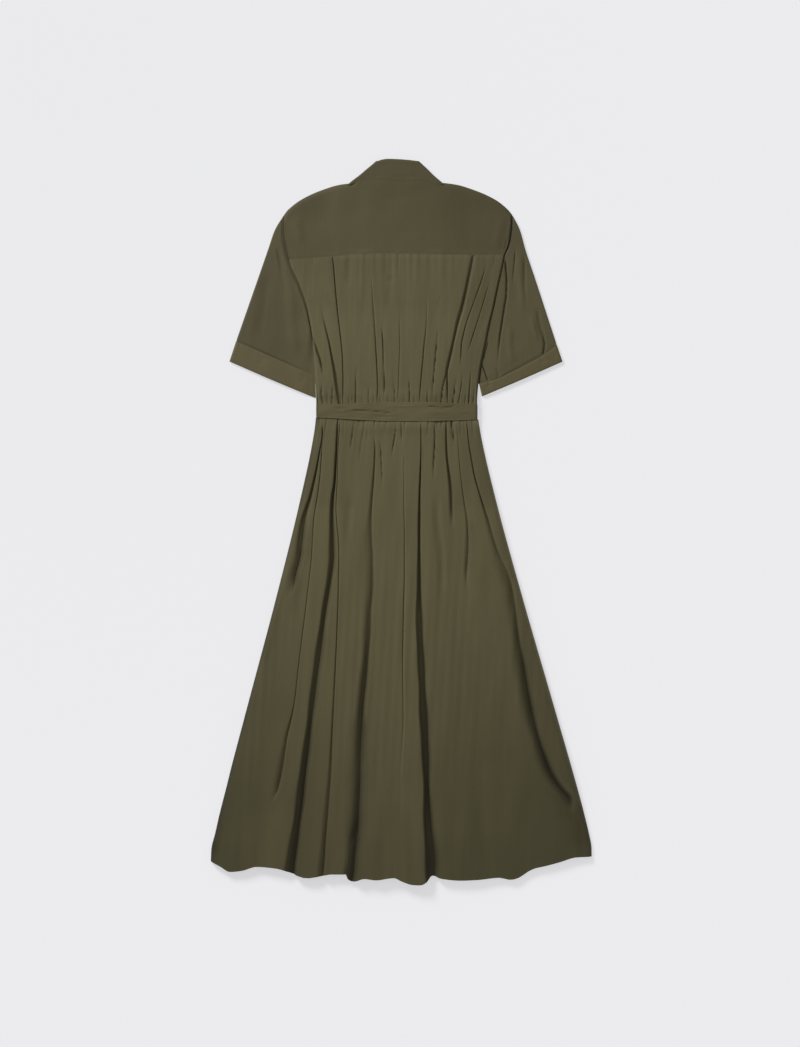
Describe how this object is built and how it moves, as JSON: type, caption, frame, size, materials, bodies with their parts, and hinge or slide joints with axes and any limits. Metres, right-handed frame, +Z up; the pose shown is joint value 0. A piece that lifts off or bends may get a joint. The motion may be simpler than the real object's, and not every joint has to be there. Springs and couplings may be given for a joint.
{
  "type": "shirt dress",
  "caption": "Long short-sleeved shirt dress laid flat with its back up: folded collar, back yoke, gathered bodice, cloth belt, gathered flared skirt and deep cuffs.",
  "frame": {"origin": "middle of the laid-out dress on the surface that it lies on", "axes": "+Y towards the collar along the dress, +X across it towards the wearer's right, +Z up from the surface, the way the back faces"},
  "size_m": [0.647, 1.232, 0.0169],
  "materials": {
    "cloth": "matt olive khaki drapey viscose",
    "buttons": "polished dark olive brown"
  },
  "bodies": {
    "root": {"back_yoke": "cloth", "back_bodice": "cloth", "back_skirt": "cloth", "sleeve_left": "cloth", "sleeve_right": "cloth", "cuff_left": "cloth", "cuff_right": "cloth", "collar": "cloth", "collar_stand": "cloth", "belt": "cloth", "front_bodice_left": "cloth", "front_bodice_right": "cloth", "front_skirt_left": "cloth", "front_skirt_right": "cloth", "placket": "cloth", "button_01": "buttons", "button_02": "buttons", "button_03": "buttons", "button_04": "buttons", "button_05": "buttons", "button_06": "buttons", "button_07": "buttons", "button_08": "buttons", "button_09": "buttons", "button_10": "buttons"}
  },
  "joints": []
}
